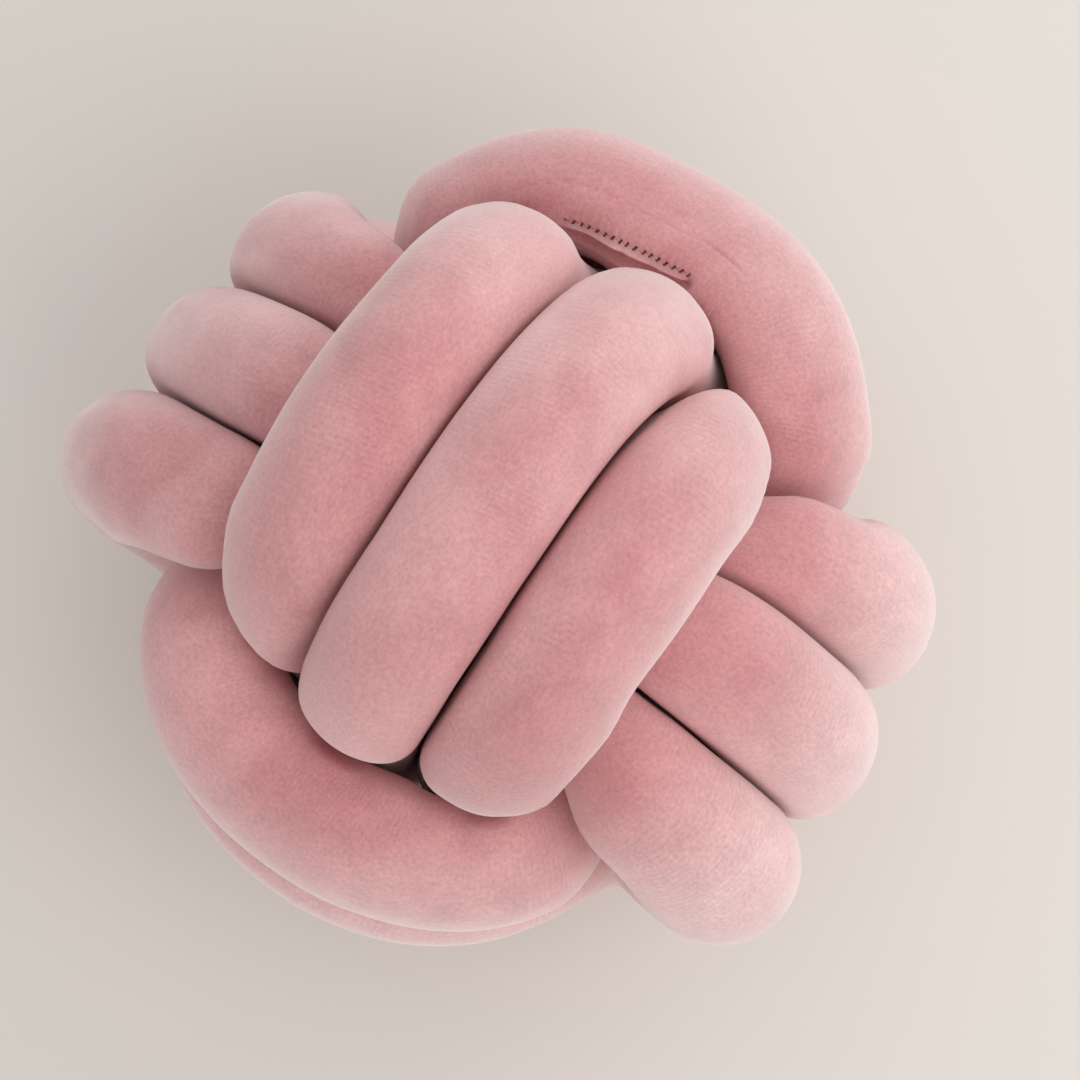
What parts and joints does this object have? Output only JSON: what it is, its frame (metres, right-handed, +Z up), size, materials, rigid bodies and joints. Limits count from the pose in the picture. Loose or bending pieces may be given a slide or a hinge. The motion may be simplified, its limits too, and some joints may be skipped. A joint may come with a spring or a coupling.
{
  "type": "knot cushion",
  "caption": "Ball-shaped scatter cushion: a long stuffed velvet tube tied as a round knot, in sets of turns that go over and under each other, with both ends tucked inside.",
  "frame": {"origin": "under the middle of the cushion's bounding box, on the surface that it lies on", "axes": "+Z up, out of the face that shows when the cushion lies on its back; +X along the turns that cross the face; +Y across them, along the turns at the sides that stand on edge"},
  "size_m": [0.2704, 0.2834, 0.2715],
  "materials": {
    "velvet": "short-pile velvet in dusty pink, soft and matt, with a pale bloom where the light grazes it"
  },
  "bodies": {
    "root": {"knot_tube": "velvet"}
  },
  "joints": []
}
